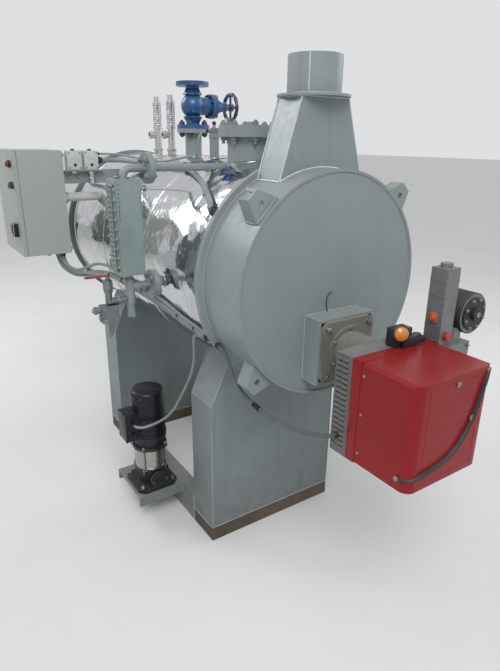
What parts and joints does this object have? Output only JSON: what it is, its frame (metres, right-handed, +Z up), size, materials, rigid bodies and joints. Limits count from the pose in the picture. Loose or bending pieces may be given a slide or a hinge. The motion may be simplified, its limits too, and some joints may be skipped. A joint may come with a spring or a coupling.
{
  "type": "horizontal steam boiler",
  "caption": "Horizontal fire-tube steam boiler on two plate saddles, with burner, flue hopper, steam valve, safety valves, level column, feed pump and wall cabinet.",
  "frame": {"origin": "on the floor, under the middle of the front saddle and under the barrel axis", "axes": "+Z up, +Y along the barrel from the burner front to the rear cover, +X to the right seen from the burner"},
  "size_m": [1.203, 2.373, 1.935],
  "materials": {
    "grey_paint": "satin, dusty",
    "plate_paint": "satin, stained",
    "frame_paint": "satin, dusty",
    "cladding_sheet": "bright, smeared",
    "bare_bearer": "rusty, dull",
    "flue_paint": "satin, dusty",
    "black_casting": "satin black",
    "motor_paint": "semi-gloss",
    "stage_steel": "satin",
    "blue_casting": "gloss",
    "wheel_black": "gloss",
    "valve_silver": "satin",
    "gauge_glass": "clear, tinted",
    "lever_red": "gloss",
    "cabinet_paint": "fine texture",
    "arm_paint": "satin",
    "switch_grey": "matte",
    "burner_grey": "satin",
    "burner_red": "gloss",
    "burner_plate": "cast",
    "gas_train": "cast",
    "dark_cable": "matte",
    "grey_cable": "matte"
  },
  "bodies": {
    "base": {"pressure_shell": "plate_paint", "cladding": "cladding_sheet", "front_tube_plate": "plate_paint", "rear_tube_plate": "plate_paint", "smoke_box": "plate_paint", "front_plate": "plate_paint", "turning_box": "plate_paint", "rear_cover": "plate_paint", "flue_hopper": "flue_paint", "flue_collar": "flue_paint", "flue_stub": "flue_paint", "lug_upper_left": "grey_paint", "lug_upper_right": "grey_paint", "lug_lower_left": "grey_paint", "lug_lower_right": "grey_paint", "front_saddle": "frame_paint", "rear_saddle": "frame_paint", "front_bearer": "bare_bearer", "rear_bearer": "bare_bearer", "skid_left": "frame_paint", "skid_right": "frame_paint", "pump_shelf": "frame_paint", "pump_base": "black_casting", "pump_sleeve": "stage_steel", "motor_bracket": "black_casting", "pump_motor": "motor_paint", "steam_nozzle": "grey_paint", "valve_body": "blue_casting", "valve_bonnet": "blue_casting", "safety_valve_front": "valve_silver", "safety_valve_rear": "valve_silver", "probe_nozzle": "grey_paint", "hatch_neck": "grey_paint", "hatch_cover": "grey_paint", "upper_nozzle": "grey_paint", "lower_nozzle": "grey_paint", "column_arms": "grey_paint", "level_column": "grey_paint", "sight_glass": "gauge_glass", "drain_valve": "valve_silver", "cabinet": "cabinet_paint", "cabinet_arm": "arm_paint", "switch_bracket": "grey_paint", "pressure_switches": "switch_grey", "instrument_pipe": "valve_silver", "burner_mount": "plate_paint", "burner_flange": "burner_plate", "burner_body": "burner_grey", "burner_cover": "burner_red", "gas_valve": "gas_train", "burner_cable": "dark_cable", "pump_cable": "grey_cable", "roof_cable": "grey_cable", "probe_cable": "dark_cable", "conduit_run": "grey_cable"},
    "wheel": {"handwheel": "wheel_black"},
    "door": {"cabinet_door": "cabinet_paint"},
    "lever": {"drain_lever": "lever_red"}
  },
  "joints": [
    {"name": "steam_handwheel", "type": "hinge", "parent": "base", "child": "wheel", "pos_m": [0.205, 0.628, 1.817], "axis": [1, 0, 0], "range_deg": [0, 1440]},
    {"name": "cabinet_door_hinge", "type": "hinge", "parent": "base", "child": "door", "pos_m": [-0.736, 1.357, 1.3725], "axis": [0, 0, -1], "range_deg": [0, 120]},
    {"name": "drain_lever_turn", "type": "hinge", "parent": "base", "child": "lever", "pos_m": [-0.631, 0.145, 1.19], "axis": [0, 0, 1], "range_deg": [0, 90]}
  ]
}
